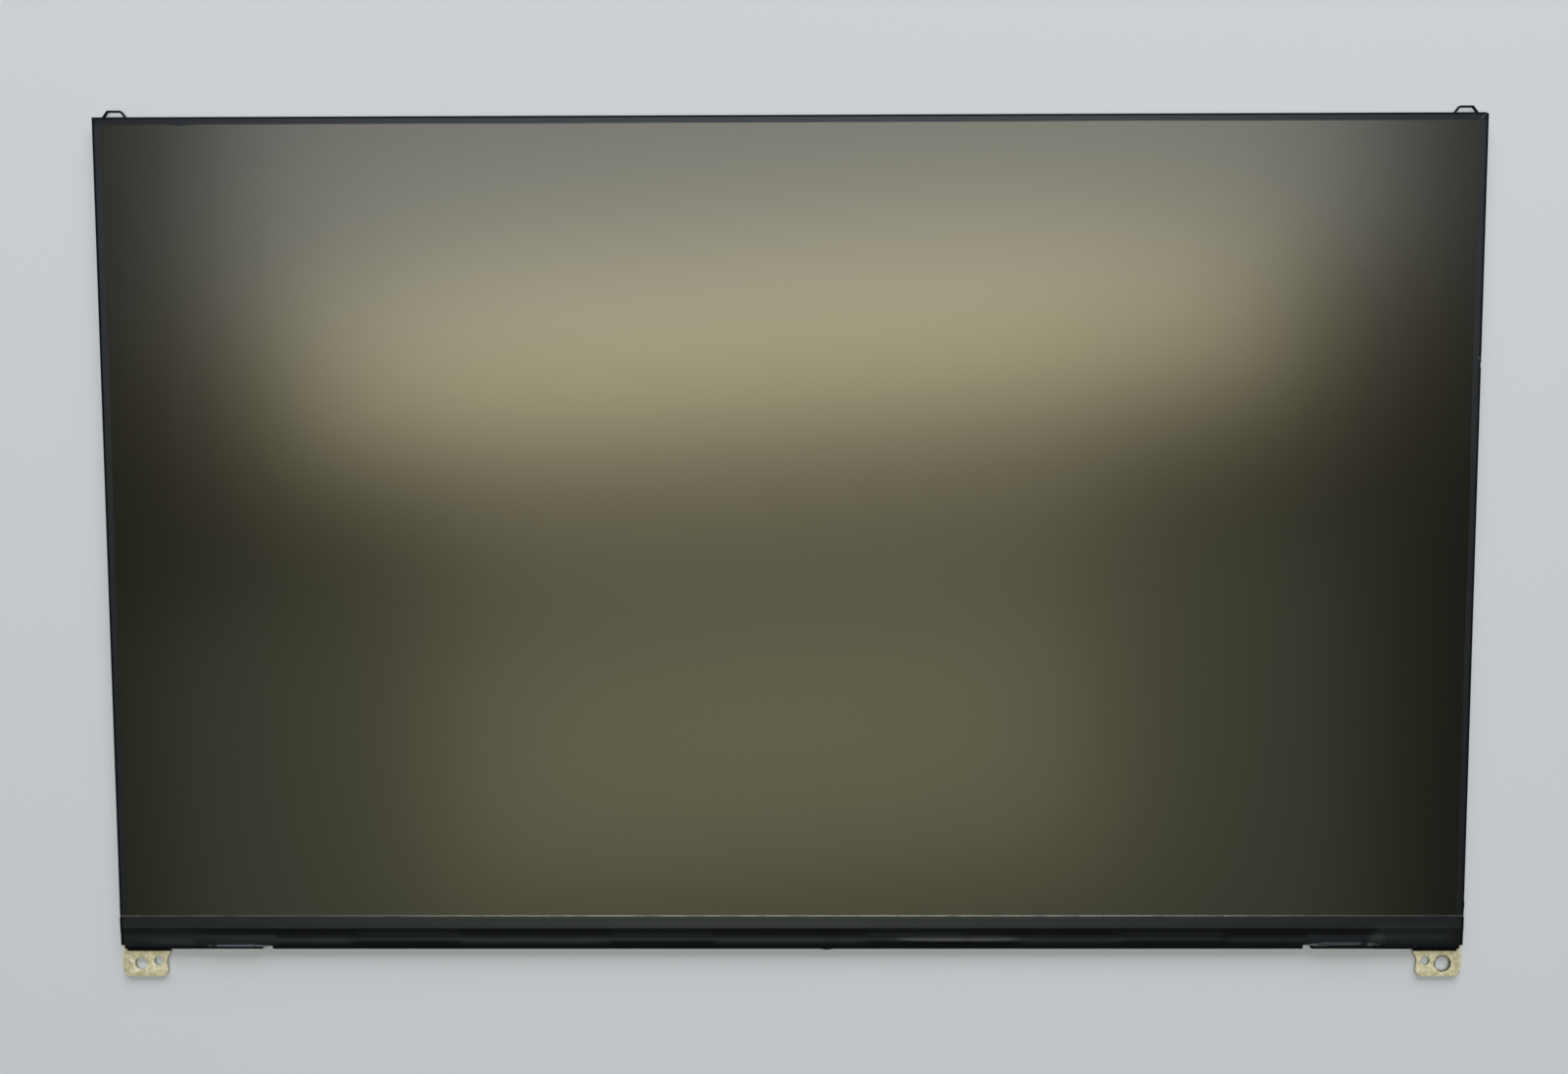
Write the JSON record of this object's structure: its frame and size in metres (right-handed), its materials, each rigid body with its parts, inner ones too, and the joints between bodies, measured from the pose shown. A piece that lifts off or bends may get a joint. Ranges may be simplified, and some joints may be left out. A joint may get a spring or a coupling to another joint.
{
  "type": "laptop screen panel",
  "caption": "Slim matte laptop display module with taped edges, a driver ledge along its foot, drilled screw tabs at its lower corners and strap hooks at its upper corners.",
  "frame": {"origin": "middle of the bounding box, on the plane that the back rests on", "axes": "+X along the screen's width, +Y up the screen, +Z out of the screen's face"},
  "size_m": [0.3162, 0.2018, 0.0028],
  "materials": {
    "plate_aluminium": "rolled, satin, with embossed beads",
    "frame_white": "moulded, white, matte",
    "screen_film": "anti-glare, dark olive grey",
    "polariser_film": "smooth, dark",
    "cell_glass": "thin, faintly green at its edges",
    "guide_acrylic": "clear, polished edges",
    "optical_film": "hazy, with fine prisms",
    "reflector_white": "white, pearly",
    "black_tape": "thin, black, slightly wrinkled",
    "cover_film": "black, thin, satin",
    "rim_adhesive": "double-sided, black",
    "bracket_steel": "thin, plated pale yellow, lightly scuffed",
    "hook_black": "black coated",
    "rivet_steel": "plain",
    "board_laminate": "green solder mask",
    "flex_amber": "amber film",
    "strip_white": "white flex",
    "led_cream": "white body, yellow window",
    "chip_black": "moulded, matte",
    "chip_silicon": "polished, dark grey",
    "ferrite_grey": "pressed, matte",
    "capacitor_tan": "fired, tinned ends",
    "socket_ivory": "moulded, ivory",
    "socket_steel": "stamped, tinned",
    "contact_gold": "gold plated"
  },
  "bodies": {
    "root": {"back_plate": "plate_aluminium", "mid_frame": "frame_white", "reflector_sheet": "reflector_white", "light_guide": "guide_acrylic", "lower_diffuser": "optical_film", "lower_prism_sheet": "optical_film", "upper_prism_sheet": "optical_film", "upper_diffuser": "optical_film", "led_strip": "strip_white", "leds": "led_cream", "led_socket": "socket_ivory", "rim_tape": "rim_adhesive", "rear_polariser": "polariser_film", "array_glass": "cell_glass", "filter_glass": "cell_glass", "front_polariser": "screen_film", "link_flexes": "flex_amber", "driver_chips": "chip_silicon", "control_board": "board_laminate", "timing_controller": "chip_black", "memory_chip": "chip_black", "power_chip": "chip_black", "gamma_chip": "chip_black", "led_driver_chip": "chip_black", "rectifier_diode": "chip_black", "input_fuse": "chip_black", "inductors": "ferrite_grey", "capacitors": "capacitor_tan", "resistors": "chip_black", "video_socket_body": "socket_ivory", "video_socket_shell": "socket_steel", "video_socket_contacts": "contact_gold", "board_cover": "cover_film", "left_edge_tape": "black_tape", "right_edge_tape": "black_tape", "top_edge_tape": "black_tape", "bottom_tape": "black_tape", "lower_bracket_left": "bracket_steel", "lower_bracket_right": "bracket_steel", "bracket_rivets": "rivet_steel", "upper_hook_left": "hook_black", "upper_hook_right": "hook_black"}
  },
  "joints": []
}
